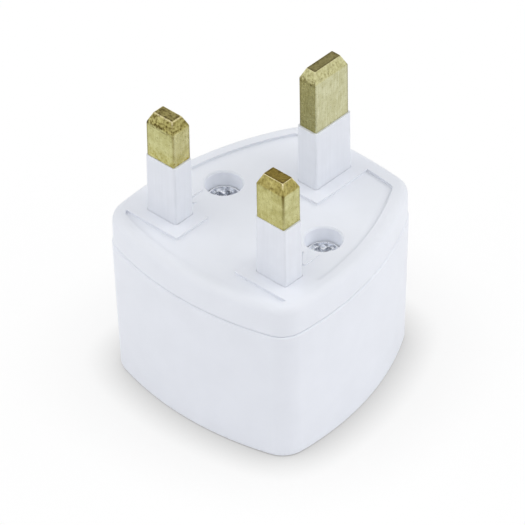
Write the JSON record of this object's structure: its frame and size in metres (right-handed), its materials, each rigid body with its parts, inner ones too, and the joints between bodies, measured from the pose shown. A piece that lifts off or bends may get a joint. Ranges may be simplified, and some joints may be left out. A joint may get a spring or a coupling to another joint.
{
  "type": "travel adapter",
  "caption": "Plug-in travel adapter: sleeved flat brass pins stand on a screwed cover with a recessed panel, and a universal outlet opens in the face below.",
  "frame": {"origin": "middle of the plan, on the outlet face that it rests on", "axes": "+Z along the pins, +Y from the line and neutral pins to the earth pin, +X from line to neutral"},
  "size_m": [0.0382, 0.04, 0.0501],
  "materials": {
    "case_plastic": "moulded satin white",
    "sleeve_plastic": "moulded white",
    "pin_brass": "drawn, scuffed",
    "contact_brass": "rolled strip",
    "screw_steel": "bright zinc plated"
  },
  "bodies": {
    "root": {"socket_housing": "case_plastic", "pin_cover": "case_plastic", "line_pin_sleeve": "sleeve_plastic", "neutral_pin_sleeve": "sleeve_plastic", "earth_pin_sleeve": "sleeve_plastic", "line_pin": "pin_brass", "neutral_pin": "pin_brass", "earth_pin": "pin_brass", "line_contact": "contact_brass", "neutral_contact": "contact_brass", "earth_contact": "contact_brass", "case_screws": "screw_steel"}
  },
  "joints": []
}
